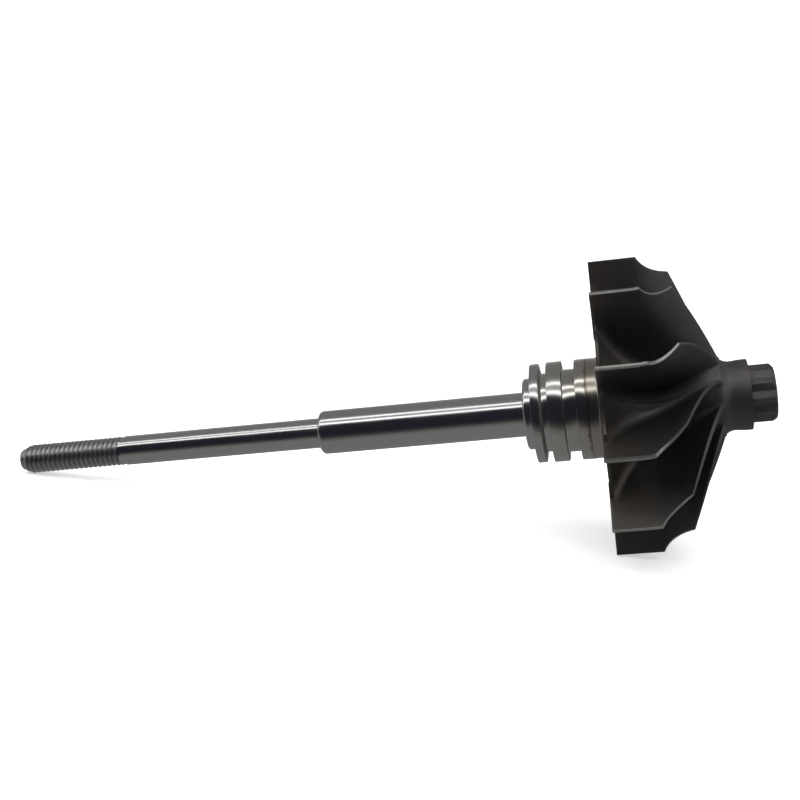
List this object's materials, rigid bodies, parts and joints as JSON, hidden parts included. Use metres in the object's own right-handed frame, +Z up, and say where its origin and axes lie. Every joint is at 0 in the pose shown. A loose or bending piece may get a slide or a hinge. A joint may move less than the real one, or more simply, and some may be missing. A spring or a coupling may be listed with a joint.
{
  "type": "turbocharger shaft and wheel",
  "caption": "Turbine rotor of a turbocharger: cast bladed turbine wheel welded to a ground shaft with a seal collar, journal and threaded end.",
  "frame": {"origin": "on the floor, under the middle of the object as it lies at rest on two blade tips and the end of its thread", "axes": "+X along the floor from the thread towards the wheel's nose; the rotor's own axis rises 11.5 degrees from +X towards +Z; +Z up"},
  "size_m": [0.2034, 0.0754, 0.0755],
  "materials": {
    "cast_alloy": "as-cast nickel alloy, dark and satin, with machined tips and nose",
    "weld_tint": "ground weld with a brown heat tint",
    "ground_steel": "ground and polished steel"
  },
  "bodies": {
    "root": {"turbine_wheel": "cast_alloy", "weld_seam": "weld_tint", "shaft": "ground_steel"}
  },
  "joints": []
}
